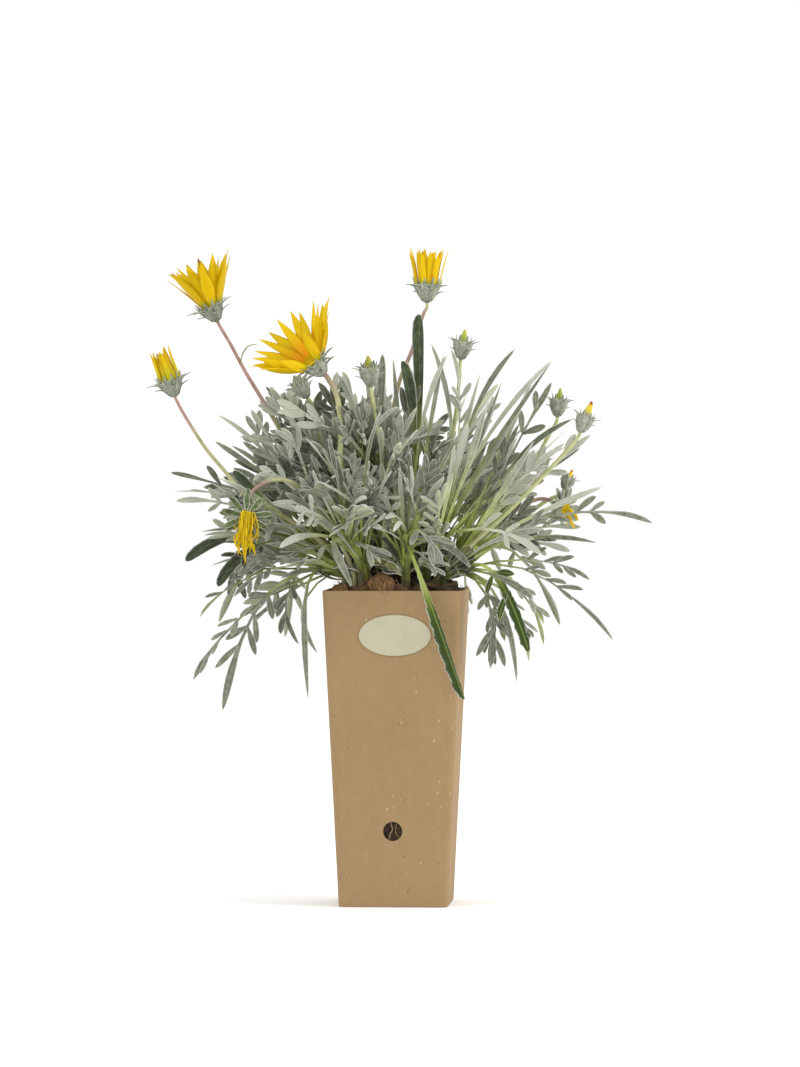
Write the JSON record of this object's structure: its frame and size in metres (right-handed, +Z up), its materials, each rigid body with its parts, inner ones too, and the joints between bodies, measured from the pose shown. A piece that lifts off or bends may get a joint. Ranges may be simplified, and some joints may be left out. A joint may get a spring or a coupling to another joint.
{
  "type": "potted gazania",
  "caption": "Silver-leaved gazania with yellow blooms and buds, growing in soil in a tall, square, tapered kraft cardboard pot with a blank oval label.",
  "frame": {"origin": "centre of the pot's underside", "axes": "+Z up; -Y is the pot's labelled front; +X to the right as seen from in front"},
  "size_m": [0.2871, 0.2037, 0.3777],
  "materials": {
    "kraft": "matt brown kraft board with fine flecks",
    "label": "smooth cream paper sticker, left blank",
    "soil": "dark, crumbly potting soil with coir",
    "leaf": "soft silver-grey felt of fine hairs on green",
    "stalk": "matt, pinkish at the head and green lower down, lightly downy",
    "cup": "silver-grey downy bracts on a green cup",
    "ray": "satin yellow petals"
  },
  "bodies": {
    "root": {"pot": "kraft", "label": "label", "soil": "soil", "shoot_left_low": "leaf", "shoot_left_mid": "leaf", "shoot_left_upper": "leaf", "shoot_left_front": "leaf", "shoot_top_left": "leaf", "shoot_top": "leaf", "shoot_centre_front": "leaf", "shoot_centre": "leaf", "shoot_right_upper": "leaf", "shoot_right": "leaf", "shoot_right_low": "leaf", "shoot_back_left": "leaf", "shoot_back": "leaf", "shoot_back_right": "leaf", "shoot_back_top_left": "leaf", "shoot_back_top_right": "leaf", "bloom_upper_left_stalk": "stalk", "bloom_upper_left_cup": "cup", "bloom_upper_left_rays": "ray", "bloom_open_stalk": "stalk", "bloom_open_cup": "cup", "bloom_open_rays": "ray", "bloom_top_stalk": "stalk", "bloom_top_cup": "cup", "bloom_top_rays": "ray", "bloom_left_stalk": "stalk", "bloom_left_cup": "cup", "bloom_left_rays": "ray", "bloom_wilted_stalk": "stalk", "bloom_wilted_cup": "cup", "bloom_wilted_rays": "ray", "bloom_faded_stalk": "stalk", "bloom_faded_cup": "cup", "bloom_faded_rays": "ray", "bud_front_stalk": "stalk", "bud_front": "cup", "bud_upper_right_stalk": "stalk", "bud_upper_right": "cup", "bud_right_stalk": "stalk", "bud_right": "cup", "bud_far_right_stalk": "stalk", "bud_far_right": "cup", "bud_low_right_stalk": "stalk", "bud_low_right": "cup", "bud_left_stalk": "stalk", "bud_left": "cup"}
  },
  "joints": []
}
